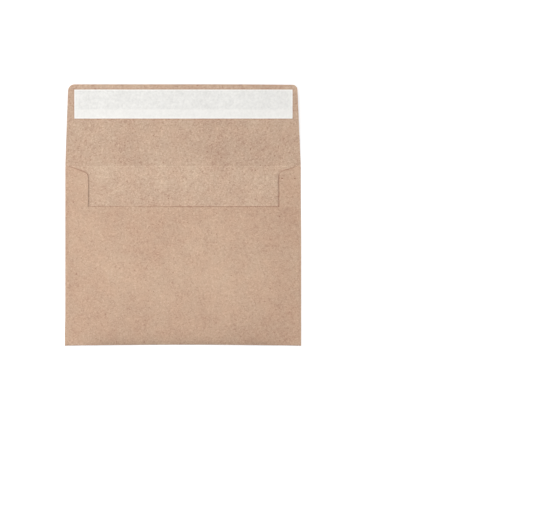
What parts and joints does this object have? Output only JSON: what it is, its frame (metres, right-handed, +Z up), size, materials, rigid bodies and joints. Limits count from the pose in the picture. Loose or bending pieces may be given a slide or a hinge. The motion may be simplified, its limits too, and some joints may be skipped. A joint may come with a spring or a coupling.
{
  "type": "paper envelope",
  "caption": "Kraft paper envelope, flap open: a folded pocket glued at the sides, a square top flap and a peel-off seal strip.",
  "frame": {"origin": "middle of the address panel's outer face, which lies on the surface", "axes": "+Y from the pocket up towards the open flap, +Z up away from the surface, X across the pocket's width"},
  "size_m": [0.146, 0.1619, 0.0035],
  "materials": {
    "kraft_paper": "matte",
    "liner_paper": "satin",
    "seal_adhesive": "satin",
    "seam_glue": "satin"
  },
  "bodies": {
    "root": {"folded_sheet": "kraft_paper", "seal_adhesive": "seal_adhesive", "release_liner": "liner_paper", "seam_glue_left": "seam_glue", "seam_glue_right": "seam_glue"}
  },
  "joints": []
}
